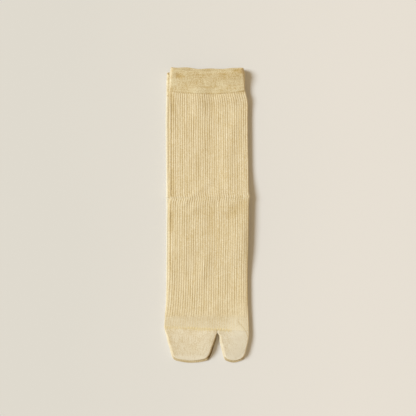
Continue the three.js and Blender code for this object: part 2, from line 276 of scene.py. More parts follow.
for part, place in (("cuff", 10), ("leg", 80), ("foot", 138), ("foot", 200), ("toe", 290)):
    top = float(heights("upper", part)(place, 0.0)[1])
    print(f"top of the pair {place} mm along, in the {part}: {top:.1f} mm")

# %% [markdown]
# ## Creases
#
# The socks were pressed and stacked, so their creases are broad and shallow. Each is a
# soft ridge or trough along a few points: one long ridge winds down the
# right of the leg, two climb from the heel's left corner, and a trough pinches the right
# side under the heel. The lower sock gets its own, so that its hidden sides aren't plain.
#
# The same table holds finer lines: the deep first valley beside the left fold, and the
# curved line where the toe band is shaped. A line may also carry painted shade, darker along
# a crease, fold or edge, or a paler painted highlight where light would catch it. The lower
# sock's last row is painted shade that darkens its toes where they lie deep in the split.

# %% The crease table
# (points of its line, half width, height, how much painted shade darkens it). Troughs, and
# paler painted highlights, are below zero.
CREASES = {
    "upper": [
        ([(-30, 147.6), (-29, 147.6)], 3.2, -0.45, 0.50),
        ([(-30, 147.4), (0, 146.2), (33, 147.6)], 2.7, -0.15, 0.18),
        ([(30, 153.2), (39, 151.6)], 2.2, -0.35, 0.60),
        ([(-38, 134.5), (-32, 134.2)], 2.2, -0.20, 0.30),
        ([(35, 131.5), (39, 131)], 2.6, -0.30, 0.40),
        ([(-10, 131), (-9.5, 106)], 8.0, 1.0, 0.0),
        ([(5.5, 128), (6, 110)], 6.0, -0.60, 0.10),
        ([(27, 126), (31, 98)], 6.0, 0.32, 0.0),
        ([(27.7, 92), (22.4, 74), (21.4, 53), (22.4, 32)], 7.0, 0.60, 0.0),
        ([(4.5, 80), (3.5, 40)], 7.0, -0.35, 0.06),
        ([(-25, 11), (-10.3, 25), (2.4, 35.5)], 3.6, 0.45, -0.05),
        ([(-16.7, 3.8), (-4, 15.4), (9.7, 19.6)], 4.6, 0.50, 0.0),
        ([(12, 27), (23.5, 10)], 4.6, 0.35, 0.0),
        ([(38, 13), (25, 0)], 6.0, -0.50, 0.22),
        ([(-17, 0), (-8, 3)], 6.0, -0.10, 0.14),
        ([(4, 3), (7, -16)], 6.5, -0.30, 0.16),
        ([(36.2, -20.5), (27.7, -49)], 8.0, 0.50, -0.05),
        ([(40, -16), (40, -96)], 10.0, 0.60, 0.0),
        ([(10, -26), (5.5, -49)], 7.0, -0.30, 0.0),
        ([(0, -49), (-10.3, -73)], 7.0, 0.50, 0.0),
        ([(9.7, -94), (9.7, -101)], 4.0, 0.30, 0.0),
        ([(-30, -107), (-12, -110), (22, -110)], 2.6, -0.10, 0.14),
        ([(0.5, -128), (-1, -148)], 9.0, 0.50, -0.08),
        ([(34, -124), (32, -150)], 12.0, 0.5, -0.46),
        ([(-28, -152), (2, -152)], 7.0, 0.0, -0.24),
        ([(-44, -124), (-39, -150)], 7.0, 0.0, 0.30),
        ([(24, -152), (36, -150)], 6.0, 0.0, -0.16),
        ([(-36.4, 126), (-36.4, 112)], 2.4, -0.10, 0.30),
        ([(-36.4, 48), (-36.6, 20)], 2.2, -0.10, 0.28),
        ([(-37.0, 4), (-37.2, -16)], 2.4, -0.10, 0.34),
        ([(-37.6, 130), (-37.6, 21)], 0.65, -0.32, 0.5),
        ([(-38.0, 15), (-38.6, -52)], 0.65, -0.26, 0.42),
        ([(33.5, -113), (38, -117.6), (41.5, -122.5), (43.8, -128.5)], 0.55, -0.22, 0.6),
    ],
    "lower": [
        ([(-42, 90), (-40, 60)], 5.0, 0.30, 0.0),
        ([(-40, 20), (-20, 6)], 6.0, -0.30, 0.1),
        ([(0, 110), (8, 70)], 6.0, 0.35, 0.0),
        ([(-10, -40), (12, -70)], 8.0, -0.30, 0.1),
        ([(11.5, -125), (10.2, -138), (3.2, -151)], 2.0, 0.0, 2.2),
    ],
}
DEEPEST = -0.45      # the top ply never sinks further, or it would touch the ply under it
HIGHEST = {"upper": math.inf, "lower": 0.1}   # the lower sock's never rises into the upper sock
REST = {"upper": 0.38, "lower": -0.10}        # where the top ply lies away from every crease
RELIEF_SEED = {"upper": 3, "lower": 4}
BLUNTING = 6         # the larger it is, the more abruptly a trough stops at the deepest


def away_from(points, x, y):
    """Distance from a line of points."""
    nearest = np.full(np.broadcast(x, y).shape, 1e3)
    for (x0, y0), (x1, y1) in zip(points, points[1:]):
        run, rise = x1 - x0, y1 - y0
        t = np.clip(((x - x0) * run + (y - y0) * rise) / (run**2 + rise**2), 0, 1)
        nearest = np.minimum(nearest, np.hypot(x - x0 - t * run, y - y0 - t * rise))
    return nearest


def bell(value, half):
    return np.exp(-((value / half) ** 2))


def relief(sock, x, y):
    """How far the top ply stands above or below its plain height, in millimetres."""
    seed = RELIEF_SEED[sock]
    total = REST[sock] + 0.12 * wobble(x, y, 26, seed) + 0.04 * wobble(x, y, 9, seed + 2)
    for points, half, height, _ in CREASES[sock]:
        total = total + height * bell(away_from(points, x, y), half)
    above = np.logaddexp(0, (total - DEEPEST) * BLUNTING) / BLUNTING
    return np.minimum(DEEPEST + above, HIGHEST[sock])


def line_shade(sock, x, y):
    """How much painted shade darkens the creases at a place; below zero it is a paler painted highlight.
    """
    return sum(
        dark * bell(away_from(points, x, y), half) for points, half, _, dark in CREASES[sock]
    )


print("creases:", {sock: len(rows) for sock, rows in CREASES.items()})

# %% [markdown]
# ## A grid round a flat tube
#
# The columns of the grid run along the sock. They go over the top face from the left
# fold to the right, round the right fold, back under the bottom face and up round the
# left fold. Where a face is ribbed there are eight columns to a rib, which is enough to
# draw its round back and its narrow valley. `wale` counts the ribs or stitches round the
# tube, and the material uses it to draw the stitches.

# %% The columns of a section
FOLD_STEPS = 9       # columns round a fold
RIB_STEPS = 8        # columns to a rib
SOLE_STEPS = 72      # columns across the plain face of a tube whose other face is ribbed
FIRST_VALLEY = 0.73  # ribs from the left end of the top face to its first valley


def rib_back(wale):
    """Height of a rib: round on its back, with a narrow valley at each whole number."""
    return np.abs(np.sin(math.pi * wale)) ** 0.75


def columns(top_ribbed=False, bottom_ribbed=False, fold_ribbed=False, plain_steps=120, wales=70):
    """Share of the width, tilt, wale count, rib height and whether it is ribbed, by column."""
    share, tilt, wale, rib, is_ribbed = [], [], [], [], []
    fold = 90 - 180 * np.arange(1, FOLD_STEPS + 1) / (FOLD_STEPS + 1)
    round_fold = np.arange(1, FOLD_STEPS + 1) / (FOLD_STEPS + 1)
    steps_if_plain = SOLE_STEPS if top_ribbed or bottom_ribbed else plain_steps
    start = 1 - FIRST_VALLEY
    for is_top, ribbed in ((True, top_ribbed), (False, bottom_ribbed)):
        steps = RIBS * RIB_STEPS if ribbed else steps_if_plain
        t = np.linspace(0, 1, steps + 1)
        count = RIBS if ribbed else wales
        share += list(t if is_top else 1 - t) + [1 if is_top else 0] * FOLD_STEPS
        tilt += [90 if is_top else -90] * (steps + 1) + list(fold if is_top else -fold)
        wale += list(start + t * count)
        rib += list(rib_back(start + t * RIBS) if ribbed else 0 * t)
        start += count
        wale += list(start + round_fold)
        rib += list(rib_back(start + round_fold) if fold_ribbed else 0 * round_fold)
        start += 1
        is_ribbed += [float(ribbed)] * (steps + 1) + [float(fold_ribbed)] * FOLD_STEPS
    return {"share": np.array(share), "tilt": np.radians(tilt), "wale": np.array(wale + [start]),
            "rib": np.array(rib), "ribbed": np.array(is_ribbed)}


LEG_COLUMNS = columns(top_ribbed=True, bottom_ribbed=True, fold_ribbed=True)
POCKET_COLUMNS = columns(plain_steps=84, wales=46)
print("columns round a leg:", len(LEG_COLUMNS["share"]))
print("columns round a pocket:", len(POCKET_COLUMNS["share"]))

# %% [markdown]
# ## The points of the grid
#
# Every point starts on a plain flattened tube. Then its rib moves it outwards, the creases
# move it up or down, and both ends of the sock are pulled a little out of square. Where two
# plies face each other the ribs are pressed, so they stay lower there and never cross.

# %% The points of the grid
RIB_LUCK = np.random.default_rng(7).normal(0, 1, 2 * RIBS + 80)   # one number for each wale
FACING_RIB = 0.42    # ribs are no higher than this where two plies face each other
WANDER = 0.3         # how far a column strays sideways
THINNEST = 0.03      # half of what is left between two plies where they meet
TOE_SLANT = 0.046    # the toe seam lies this much out of square
RIM_DROP = 0.77      # how far the rim is drawn in at its left end
RIM_SLANT = 0.009    # and how much more for each millimetre to the right
ROOT_FOLD = 0.25     # share of its width that a fold has at the root of the toe split


def rib_share(sock, x, along):
    """1 where the cloth is ribbed, 0 where it is plain. The ribs end unevenly at the toes."""
    welt = STATIONS[sock]["welt"]
    end = STATIONS[sock]["rib_end"]
    ends = smoothstep(along + 1.6 * wobble(2 * x, 0 * x, 8, 31), end - 4, end + 1)
    faint = 0.35 * smoothstep(x, 25, 36) * smoothstep(along, end - 22, end - 8)
    return smoothstep(along, welt, welt + 1.2) * (1 - ends) * (1 - faint)


def fold_reach(along):
    """At its start the foot is as deep at the folds as the leg, so that the ribs run on."""
    ankle = STATIONS["upper"]["ankle"]
    return np.where(along < ankle, 0, 0.8 * (1 - smoothstep(along, ankle, ankle + 34)))


def grid(sock, cols, rows, levels, inset=0.0, rib=RIB, groove=0.0, split_side=None):
    """Points for every row and column. rows holds along, left, right, sag, full, step, ridge."""
    share, tilt, back = cols["share"], cols["tilt"], cols["rib"]
    along, left, right, sag, full, step, ridge = (np.array(r)[:, None] for r in rows)
    is_right = share > 0.5
    toe = STATIONS[sock]["toe"]

    def half_at(x):
        bottom, top = levels(along, x)
        return full * (top - bottom) / 2, (top + bottom) / 2

    # How far each fold reaches out. At the root of the split it has hardly any room.
    left_half, right_half = (half_at(fold)[0] + full * fold_reach(along) for fold in (left, right))
    held = ROOT_FOLD + (1 - ROOT_FOLD) * smoothstep(along - toe, 3.5, 6.0)
    if split_side == "left":
        left_half = left_half * held
    if split_side == "right":
        right_half = right_half * held
    radius = np.where(is_right, right_half, left_half)
    start = left + left_half + (right - left - left_half - right_half) * share
    wander = WANDER * wobble(start, along, 22, 11) * np.sin(math.pi * share)

    # How high the rib stands: uneven from rib to rib, and a little higher below the welt.
    luck = 1 + 0.16 * RIB_LUCK[cols["wale"][:-1].astype(int)]
    uneven = 1 + 0.34 * wobble(3 * start, along, 24, 12)
    gain = rib * rib_share(sock, start, along) * luck * uneven
    gain = gain * (1 + 0.25 * (1 - smoothstep(along, 45, 80)))
    facing = tilt > 1.5 if sock == "lower" else tilt < -1.5
    gain = np.where(facing, np.minimum(gain, FACING_RIB), gain)

    out = np.maximum(radius - inset, THINNEST) + gain * back - groove * bell(tilt, 0.35)
    x = start + np.where(is_right, 1, -1) * out * np.cos(tilt) + wander
    half, middle = half_at(start)
    z = middle + (np.maximum(half - inset, THINNEST) + gain * back) * np.sin(tilt)
    across = 2 * (x - left) / (right - left) - 1
    y = LENGTH / 2 - along - sag * (1 - across**2)
    y = y - step * np.sin(tilt) * (1 + 0.4 * wobble(x, 0 * x, 9, 41))
    y = y - (RIM_DROP + RIM_SLANT * (x + 40)) * bell(along, 7)
    y = y - TOE_SLANT * (x - 3) * bell(along - toe, 8)
    if not groove:
        edge = np.clip((1 - np.abs(across)) * 9, 0, 1)
        on_top = 0.5 + 0.5 * np.sin(tilt)
        z = z + on_top * (relief(sock, x, y) * (0.25 + 0.75 * edge) + ridge)
    return np.stack([x, y, np.maximum(z, 0)], axis=-1)   # pressed flat where it rests


# Small irregular spots on the folds: (sock, column of EDGES, along, half width, outwards).
NICKS = [
    ("upper", 1, 139.5, 2.2, 1.1), ("upper", 2, 136.8, 2.0, 0.7), ("lower", 1, 141, 3.0, -0.4),
]


def row_table(sock, along, sag=0.0, full=1.0, step=0.0, ridge=0.0, table=None, past=None):
    """The seven values of every row, each as a list as long as along."""
    along = np.asarray(along, float)
    edges = []
    for column in (1, 2):
        edge = curve(table or EDGES[sock], column)(along if past is None else past)
        for owner, side, place, half, out in NICKS:
            if table is None and (owner, side) == (sock, column):
                edge = edge + out * bell(along - place, half)
        edges.append(edge)
    others = [np.broadcast_to(np.asarray(value, float), along.shape)
              for value in (sag, full, step, ridge)]
    return [along, *edges, *others]


row = grid("upper", LEG_COLUMNS, row_table("upper", [80.0]), heights("upper", "leg"))[0]
top = row[LEG_COLUMNS["tilt"] > 1.5, 2]
print(f"80 mm along, the upper leg's top ply is {top.min():.1f} to {top.max():.1f} mm high")


# %% [markdown]
# ## From grids to cloth
#
# A knitted tube has an outside, an inside and two edges. All four are one long grid that
# is rolled up twice, round the tube and through its mouth, so the cloth is one closed
# skin with a real wall. A toe pocket does the same but is closed at its tip.

# %% Building the mesh
def faces_of(row_count, column_count, rolled):
    """The four corners of every face, and the row and column of each for its UVs."""
    rows = np.arange(row_count if rolled else row_count - 1)
    cols = np.arange(column_count)
    r, c = (a.ravel() for a in np.meshgrid(rows, cols, indexing="ij"))
    r2, c2 = (r + 1) % row_count, (c + 1) % column_count
    corner = lambda row, col: row * column_count + col
    quads = np.stack([corner(r, c), corner(r2, c), corner(r2, c2), corner(r, c2)], axis=1)
    places = np.stack([np.stack([c, r], 1), np.stack([c, r + 1], 1),
                       np.stack([c + 1, r + 1], 1), np.stack([c + 1, r], 1)], axis=1)
    return quads, places


def tip_faces(first, column_count):
    """Closes a flat section, pairing each column of the top with the one under it."""
    pivot = 2 * ((column_count - 2 * FOLD_STEPS) // 2 - 1) + FOLD_STEPS + 1
    half = FOLD_STEPS // 2 + 1
    faces = []
    for i in range(-half, pivot // 2 + 1):
        ring = [i, i + 1, pivot - i - 1, pivot - i]
        ring = list(dict.fromkeys(k % column_count for k in ring))
        if len(ring) > 2:
            faces.append([first + k for k in ring])
    return faces


def volume_of(points, quads):
    """Above zero when the faces look outwards."""
    a, b, c, d = (points[quads[:, k]] for k in range(4))
    return (a * (np.cross(b, c) + np.cross(c, d))).sum() / 6


def make_cloth(name, points, wale, course, rolled, material, marks, sharp_rows=()):
    """A mesh object from a grid of points in millimetres, with its stitch count as UVs."""
    row_count, column_count, _ = points.shape
    quads, places = faces_of(row_count, column_count, rolled)
    flat = points.reshape(-1, 3)
    tips = []
    if not rolled:
        tips = tip_faces((row_count - 1) * column_count, column_count)
        tips += [face[::-1] for face in tip_faces(0, column_count)]
    if volume_of(flat, quads) < 0:
        quads, places, tips = quads[:, ::-1], places[:, ::-1], [face[::-1] for face in tips]
    mesh = bpy.data.meshes.new(name)
    mesh.from_pydata((flat / 1000).tolist(), [], quads.tolist() + tips)
    uv = mesh.uv_layers.new(name="Stitches")
    course = np.append(course, course[0])
    uvs = np.zeros((len(mesh.loops), 2))
    uvs[: quads.size, 0] = wale[places[:, :, 0].ravel()]
    uvs[: quads.size, 1] = course[places[:, :, 1].ravel()]
    uv.data.foreach_set("uv", uvs.ravel())
    for key, value in marks.items():
        values = np.broadcast_to(value, (row_count, column_count)).ravel()
        mesh.attributes.new(key, "FLOAT", "POINT").data.foreach_set("value", values)
    mesh.shade_smooth()
    ends = np.zeros(2 * len(mesh.edges), np.int32)
    mesh.edges.foreach_get("vertices", ends)
    rows_of = ends.reshape(-1, 2) // column_count
    sharp = (rows_of[:, 0] == rows_of[:, 1]) & np.isin(rows_of[:, 0], list(sharp_rows))
    mesh.attributes.new("sharp_edge", "BOOLEAN", "EDGE").data.foreach_set("value", sharp)
    mesh.materials.append(material)
    obj = bpy.data.objects.new(name, mesh)
    bpy.context.scene.collection.objects.link(obj)
    return obj


print("faces that close a pocket's tip:", len(tip_faces(0, len(POCKET_COLUMNS["share"]))))

# %% [markdown]
# ## Shader maths
#
# A material is easier to read as sums than as boxes and wires. The class below stands for
# one output of one node, and adds a Math node whenever it meets an operator.

# %% One socket as a number
class Wire:
    """One output socket. Arithmetic on it adds Math nodes to its material."""

    def __init__(self, finish, socket):
        self.finish, self.socket = finish, socket

    def math(self, operation, *values):
        return self.finish.node("ShaderNodeMath", {"operation": operation}, dict(enumerate(values)))

    def __add__(self, other):
        return self.math("ADD", self, other)

    def __sub__(self, other):
        return self.math("SUBTRACT", self, other)

    def __rsub__(self, other):
        return self.math("SUBTRACT", other, self)

    def __mul__(self, other):
        return self.math("MULTIPLY", self, other)

    def __pow__(self, other):
        return self.math("POWER", self, other)

    def part(self):
        return self.math("FRACT", self)

    def size(self):
        return self.math("ABSOLUTE", self)

    def cosine(self):
        return self.math("COSINE", self)

    def twin(self, index):
        """Another output of the same node."""
        return Wire(self.finish, self.socket.node.outputs[index])

    __radd__ = __add__
    __rmul__ = __mul__


class Finish:
    """A new material and the one method that adds nodes to it."""

    def __init__(self, name):
        self.material = bpy.data.materials.new(name)
        self.material.use_nodes = True
        self.tree = self.material.node_tree
        self.tree.nodes.clear()

    def node(self, kind, settings=None, inputs=None, output=0):
        made = self.tree.nodes.new(kind)
        for key, value in (settings or {}).items():
            setattr(made, key, value)
        for key, value in (inputs or {}).items():
            if isinstance(value, Wire):
                self.tree.links.new(value.socket, made.inputs[key])
            else:
                made.inputs[key].default_value = value
        return Wire(self, made.outputs[output]) if made.outputs else made

    def mix(self, share, first, second):
        """A colour between two colours, at a share that is kept between 0 and 1."""
        share = self.node("ShaderNodeClamp", None, {0: share})
        first, second = (c if isinstance(c, Wire) else (*c, 1) for c in (first, second))
        return self.node("ShaderNodeMix", {"data_type": "RGBA"}, {0: share, 6: first, 7: second}, 2)


# %% [markdown]
# ## The knit
#
# Plain knit is rows of small Vs. The two legs of each V lean away from the middle of the
# stitch, so the height of the yarn is a cosine that runs down the cloth and is pushed
# later the further it is from that middle. In the ribs the same V fills a rib's back.
#
# The colour is a warm cream. It is deeper down between the ribs, where light reaches it
# only off other yarn, and a second step takes it on to a dark brown deep in the toe split.
# No cotton yarn is even, so noises vary it: streaks, long and short, that follow the
# stitches, soft clouds a centimetre or two across, and specks of lint. The plain knits have
# broader streaks too, which lie across the sock. On the folds a painted highlight makes the
# cloth paler, where loose fibres would catch the light. Where two pieces are linked, a row
# of loops in a yellower thread lies on the cloth.

# %% The cream knit
# PALE is a painted highlight on the folds and the lower sock's strip, and the own paler tone of the
# plain band and the ankle's loops.
PALE = (0.84, 0.80, 0.67)
THREAD = (0.88, 0.72, 0.37)
UNLIT = (0.20, 0.12, 0.045)   # deep in the split of the toes, where hardly any light comes

# The streaks of a knit: (how fine across, how fine along, how strong).
RIB_GRAIN = ((1.8, 0.16, 0.5), (1.3, 0.03, 0.65))
WELT_GRAIN = ((1.6, 0.14, 4.2), (0.05, 0.35, 3.2), (0.1, 0.08, 3.0))
TOE_GRAIN = ((1.2, 0.1, 5.5), (0.1, 0.3, 1.6))


def knit(name, cream, deep, rib_depth=0.5, grain=RIB_GRAIN, speck=1.5):
    """A knit's material, from its colour on the ribs and the one down between them."""
    finish = Finish(name)
    uv = finish.node("ShaderNodeUVMap", {"uv_map": "Stitches"})
    wale = finish.node("ShaderNodeSeparateXYZ", None, {0: uv})
    course = wale.twin(1)
    mark = {
        key: finish.node("ShaderNodeAttribute", {"attribute_name": key}, None, 2)
        for key in ("back", "shade", "pale_and_highlight", "stitch", "ribbed")
    }

    # The Vs of the stitches: leg is 1 on the middle of a V's leg, row counts the courses.
    aside = (wale.part() * 2 - 1).size()
    leg = 1 - (aside * 2 - 1) ** 2
    row = ((course - aside * 0.55) * math.tau).cosine() * 0.5 + 0.5
    yarn = leg * (row * 0.65 + 0.35)
    dots = (wale * math.tau).cosine() * 0.35 + 0.65

    def streaks(across, along):
        run = finish.node("ShaderNodeVectorMath", {"operation": "MULTIPLY"},
                          {0: uv, 1: (across, along, 1)})
        return finish.node("ShaderNodeTexNoise", {"noise_dimensions": "2D"},
                           {"Vector": run, "Scale": 1.0, "Detail": 2.0}) - 0.5

    def specks(scale, detail):
        place = finish.node("ShaderNodeTexCoord", None, None, 3)
        return finish.node("ShaderNodeTexNoise", None,
                           {"Vector": place, "Scale": scale, "Detail": detail})

    # How deep the colour is: 0 is the cream, 1 the deep tone, and 2.1 the unlit brown.
    mottle = specks(70.0, 3.0)
    lint = specks(1200.0, 1.0)
    depth = (1 - mark["back"]) * rib_depth + mark["shade"] + (1 - yarn) * 0.12
    drawn = mark["ribbed"] * 0.8 + 0.2   # streaks are a fifth as strong on plain knit
    for across, along, strength in grain:
        depth = depth + streaks(across, along) * drawn * strength
    depth = depth + (mottle - 0.5) * 0.35 + (lint - 0.5) * speck + 0.35
    colour = finish.mix(depth, cream, deep)
    colour = finish.mix(depth - 1.1, colour, UNLIT)
    # Mixing in PALE paints the highlight on the folds and strip, and pales the plain band and ankle
    # loops.
    colour = finish.mix(mark["pale_and_highlight"] * dots * 1.3, colour, PALE)
    colour = finish.mix(mark["stitch"] * dots, colour, THREAD)

    height = yarn * 0.16 + lint * 0.07 + mark["stitch"] * dots * 0.25
    bump = finish.node("ShaderNodeBump", None, {"Strength": 1.0, "Distance": 0.001, "Height": height})
    surface = finish.node(
        "ShaderNodeBsdfPrincipled", None,
        {"Base Color": colour, "Roughness": 0.92, "Normal": bump, "Sheen Weight": 0.15,
         "Sheen Roughness": 0.5, "Specular IOR Level": 0.2},
    )
    finish.node("ShaderNodeOutputMaterial", None, {0: surface})
    return finish.material


KNITS = {
    "welt_knit": knit("welt_knit", (0.87, 0.775, 0.53), (0.61, 0.44, 0.185), 0.0, WELT_GRAIN, 2.0),
    "leg_knit": knit("leg_knit", (0.92, 0.825, 0.615), (0.65, 0.505, 0.26), 0.55),
    "heel_knit": knit("heel_knit", (0.91, 0.815, 0.60), (0.65, 0.50, 0.255), 0.0, TOE_GRAIN),
    "foot_knit": knit("foot_knit", (0.91, 0.82, 0.61), (0.65, 0.505, 0.26)),
    "toe_knit": knit("toe_knit", (0.92, 0.845, 0.675), (0.68, 0.54, 0.30), 0.0, TOE_GRAIN, 1.6),
}
print("knits:", ", ".join(KNITS))

# %% [markdown]
# ## The pieces
#
# Both socks come from one function each for welt, leg, heel, foot and toes. The rows of
# the grid lie closer together near a join, because that is where the form changes fast: a
# groove under the welt, and a low ridge of linked loops where the toes begin.

# %% Places along a piece, and what is marked on its cloth
# How much painted highlight pales the folds of each sock.
FOLD_HIGHLIGHT = {"upper": 0.34, "lower": 0.48}
SPLIT_FOLD = 13      # a right fold left of this belongs to the four toes


def spaced(start, end, spacing, fine_at=(), fine=0.3):
    """Places from start to end, `spacing` apart and closer near each of fine_at."""
    place = np.linspace(start, end, 3000)
    near = np.full_like(place, 1e3)
    for spot in fine_at:
        near = np.minimum(near, np.abs(place - spot))
    density = 1 / np.minimum(spacing, fine + 0.35 * near)
    count = np.concatenate([[0], np.cumsum(density[:-1] * np.diff(place))])
    return np.interp(np.linspace(0, count[-1], max(2, math.ceil(count[-1]) + 1)), count, place)


def marks_of(sock, cols, outer, along, tip=0.0):
    """The marks of the outer rows: rib height, painted shade, paler tone and painted highlight, and the
    linked loops.
    """
    at = STATIONS[sock]
    x, y = outer[:, :, 0], outer[:, :, 1]
    along = along[:, None]
    fold = np.sqrt(np.clip(np.cos(cols["tilt"]), 0, 1))
    on_top = np.clip(np.sin(cols["tilt"]), 0, 1)
    is_left = cols["share"] < 0.5
    ribbed = rib_share(sock, x, along) * cols["ribbed"]
    band = smoothstep(along, at["rib_end"] - 4, at["rib_end"] + 1) * (along < at["toe"])
    between_seams = (along > at["welt"]) * (along < at["toe"])
    pressed = (sock == "upper") * between_seams

    # Painted shade tones down the left folds, which face the light, and darkens the four toes' right
    # fold, deep in the split.
    beads = 0.5 + 0.5 * np.cos(2.6 * x)
    welt_seam = 0.5 * bell(along - at["welt"], 0.9) * beads
    left_fold_shade = (0.3 + 0.25 * pressed) * fold * is_left
    split_shade = 1.2 * fold * (1 - is_left) * (along > at["toe"]) * (x < SPLIT_FOLD)

    # Pale loops show at the left of the ankle line; the lower sock's strip at the left gets a painted
    # highlight.
    ankle = on_top * bell(along - at["ankle"], 0.6) * (sock == "upper") * beads * (
        smoothstep(x, -39, -36) - smoothstep(x, -22, -14))
    strip_highlight = (sock == "lower") * on_top * (1 - smoothstep(x, -41.2, -39.6)) * between_seams

    # The linked loops of the toe seam, which are hard to see towards the big toe.
    loops = bell(along - at["toe"] - 0.3 - 0.7 * np.sin(2 * x), 1.15)
    strength = 0.7 + 0.4 * smoothstep(x, -24, -12) + 0.45 * np.sin(2.2 * x + 1)
    return {
        "back": ribbed * cols["rib"] + 1 - ribbed,
        "shade": on_top * line_shade(sock, x, y) + 0.25 * band + tip + welt_seam
        + left_fold_shade + split_shade,
        "pale_and_highlight": fold * FOLD_HIGHLIGHT[sock] * (1 - 0.7 * pressed) + 0.35 * strip_highlight + 0.3 * band
        + 0.35 * ankle,
        "stitch": on_top * loops * (1 - smoothstep(x, 23, 29)) * strength,
        "ribbed": ribbed,
    }


def with_plain_rows(marks, before, after, shade=0.0):
    """Marks for the whole grid: plain rows stand before and after the outer ones."""
    whole = {}
    for key, mark in marks.items():
        plain = np.full((before + after, mark.shape[1]), 1.0 if key == "back" else 0.0)
        if key == "shade":
            plain[before:] = shade
        whole[key] = np.concatenate([plain[:before], mark, plain[before:]])
    return whole


print("rows in a leg:", len(spaced(25, 138, 1.3, [25, 138])))


# %% Rolling a tube and a pocket
INNER_ROWS = 16      # the plain inside needs no more
MOUTH_ROUND = 0.7    # how far the turned edge of a welt stands out of its flat rim
LIPS = (0.85, 0.65, 0.5, 0.35, 0.15)   # places round the rim, from its inside outwards
LIP_SHADE = 0.3


def tube(name, sock, cols, along, levels, wall, material, sag=0.0, step=0.0, ridge=0.0, mouth=False):
    """A length of the sock, from its outside through its far edge, inside and near edge."""
    rows = row_table(sock, along, sag, 1.0, step, ridge)
    outer = grid(sock, cols, rows, levels)
    picks = np.unique(np.linspace(0, len(along) - 1, INNER_ROWS).astype(int))[::-1]
    inner = grid(sock, cols, [r[picks] for r in rows], levels, inset=wall, rib=0.0)
    parts, course = [outer, inner], [along / COURSE, along[picks] / COURSE]
    sharp_rows = [len(outer) - 1, len(outer)]
    if mouth:
        lips = []
        for t in LIPS:
            lip = outer[0] + (inner[-1] - outer[0]) * t
            lip[:, 1] += MOUTH_ROUND * math.sin(math.pi * t)
            lips.append(lip)
        parts.append(np.array(lips))
        course.append(np.full(len(lips), along[0] / COURSE))
    else:
        sharp_rows += [0, len(outer) + len(inner) - 1]
    points = np.concatenate(parts)
    hidden = len(points) - len(outer)
    shade = np.where(np.arange(hidden) < len(inner), 0.0, LIP_SHADE if mouth else 0.0)[:, None]
    marks = with_plain_rows(marks_of(sock, cols, outer, along), 0, hidden, shade)
    return make_cloth(name, points, cols["wale"], np.concatenate(course), True, material, marks,
                      sharp_rows)


def pocket(name, sock, cols, rows, inner_rows, levels, wall, material, groove=0.0, tip=0.0,
           split_side=None):
    """A closed pocket: from the inside of its tip, out through its mouth, to its tip."""
    outer = grid(sock, cols, rows, levels, groove=groove, split_side=split_side)
    inner = grid(sock, cols, [r[::-1] for r in inner_rows], levels, inset=wall, split_side=split_side)
    marks = with_plain_rows(marks_of(sock, cols, outer, rows[0], tip), len(inner), 0)
    course = np.concatenate([inner_rows[0][::-1], rows[0]]) / COURSE
    return make_cloth(name, np.concatenate([inner, outer]), cols["wale"], course, False, material,
                      marks, [len(inner) - 1, len(inner)])


# %% [markdown]
# ## The welts
#
# A welt is knitted twice as long as it shows and turned in on itself, so it is thick and
# its rim is round. It could be a bent sheet, but a plain tube with a thick wall and rounded
# lips looks the same and stays one closed skin. The rim sags in the middle, where nothing
# holds it, and a groove marks the seam to the leg.

# %% Making a welt
MOUTH_STEP = 1.45    # the front ply's edge lies this far down, and the back one's up


def make_welt(sock):
    edge, seam = STATIONS[sock]["edge"], STATIONS[sock]["welt"]
    along = spaced(edge, seam - JOIN, 0.8, [edge, seam])
    share = (along - edge) / (seam - edge)
    return tube(
        f"{sock}_welt", sock, columns(), along, heights(sock, "cuff"), WELT_WALL,
        KNITS["welt_knit"], sag=2.3 + 0.9 * share,
        step=MOUTH_STEP * (1 - smoothstep(share, 0, 0.8)),
        ridge=-0.22 * bell(along - seam, 0.8), mouth=True,
    )


# %% [markdown]
# ## The legs and feet
#
# Leg and foot are one run of ribs, parted by the ankle line where the heel pocket was
# knitted in. The leg is ribbed all round. The foot is ribbed on its instep only, which is
# the upper sock's top face and the lower sock's bottom one, and its sole is plain. One long
# tube could be both, but with two each stands for its own solid and has its own columns.

# %% Making a leg and a foot
SEAM_RIDGE = 0.26    # how far the linked loops stand up at the toe seam


def make_leg(sock):
    seam, ankle = STATIONS[sock]["welt"], STATIONS[sock]["ankle"]
    along = spaced(seam + JOIN, ankle - JOIN, 1.3, [seam, ankle])
    return tube(
        f"{sock}_leg_rib", sock, LEG_COLUMNS, along, heights(sock, "leg"), WALL,
        KNITS["leg_knit"], sag=3.2 * (1 - smoothstep(along, seam, seam + 36)),
        ridge=-0.16 * bell(along - seam, 0.8),
    )


def make_foot(sock):
    ankle, toe = STATIONS[sock]["ankle"], STATIONS[sock]["toe"]
    cols = columns(top_ribbed=sock == "upper", bottom_ribbed=sock == "lower")
    along = spaced(ankle + JOIN, toe - JOIN, 1.3, [ankle, toe])
    return tube(
        f"{sock}_foot_knit", sock, cols, along, heights(sock, "foot"), WALL,
        KNITS["foot_knit"], ridge=SEAM_RIDGE * bell(along - toe, 0.7),
    )


# %% [markdown]
# ## The toe pockets
#
# The foot ends in two closed bags, one for four toes and one for the big toe. Each has its
# outline from the table of toes, and its height goes down to nothing along a quarter
# circle, so that the tip is round. They could be sculpted, but a table keeps the outline
# in plain sight.

# %% Making a toe pocket
# Painted shade on the lower sock's toe tips, which lie in the upper's shadow; the upper's tips get a
# paler painted highlight.
TIP_SHADE = {"upper": -0.25, "lower": 0.55}
TOE_INSIDE = 31.5    # how far the pocket is open inside


def rounded_off(to_tip, blunt):
    """Share of the full height: 1 inside, and down a quarter circle at the tip."""
    return np.sqrt(1 - np.clip(1 - to_tip / blunt, 0, 0.9999) ** 2)


